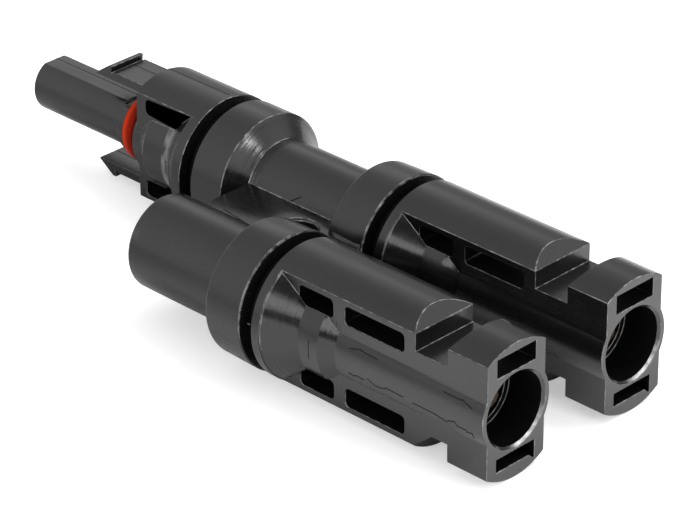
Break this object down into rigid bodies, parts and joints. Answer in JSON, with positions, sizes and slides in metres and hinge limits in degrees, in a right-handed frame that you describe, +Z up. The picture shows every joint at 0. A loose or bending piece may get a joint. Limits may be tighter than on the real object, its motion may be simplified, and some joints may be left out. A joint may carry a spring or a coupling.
{
  "type": "solar branch connector",
  "caption": "Branch connector for solar leads: sockets side by side joined by a moulded web to a latching plug nose with a sealing ring.",
  "frame": {"origin": "under the middle of the connector, on the surface it lies on", "axes": "+X towards the sockets, +Y from the stub side to the nose side, +Z up"},
  "size_m": [0.1192, 0.0448, 0.021],
  "materials": {
    "housing_plastic": "dark grey, satin",
    "body_plastic": "dark grey, satin",
    "joint_rubber": "black, matte",
    "seal_rubber": "orange-red, soft sheen",
    "contact_metal": "tin-plated copper alloy",
    "clip_steel": "spring steel",
    "copper": "bare copper"
  },
  "bodies": {
    "root": {"branch_body": "body_plastic", "near_socket_housing": "housing_plastic", "far_socket_housing": "housing_plastic", "nose_housing": "housing_plastic", "near_pin_contact": "contact_metal", "far_pin_contact": "contact_metal", "nose_socket_contact": "contact_metal", "nose_contact_cage": "contact_metal", "near_contact_clip": "clip_steel", "far_contact_clip": "clip_steel", "nose_contact_clip": "clip_steel", "near_joint_seal": "joint_rubber", "far_joint_seal": "joint_rubber", "nose_joint_seal": "joint_rubber", "nose_seal_ring": "seal_rubber", "near_conductor": "copper", "far_conductor": "copper", "bus_bar": "copper", "near_ferrule": "copper", "far_ferrule": "copper"}
  },
  "joints": []
}
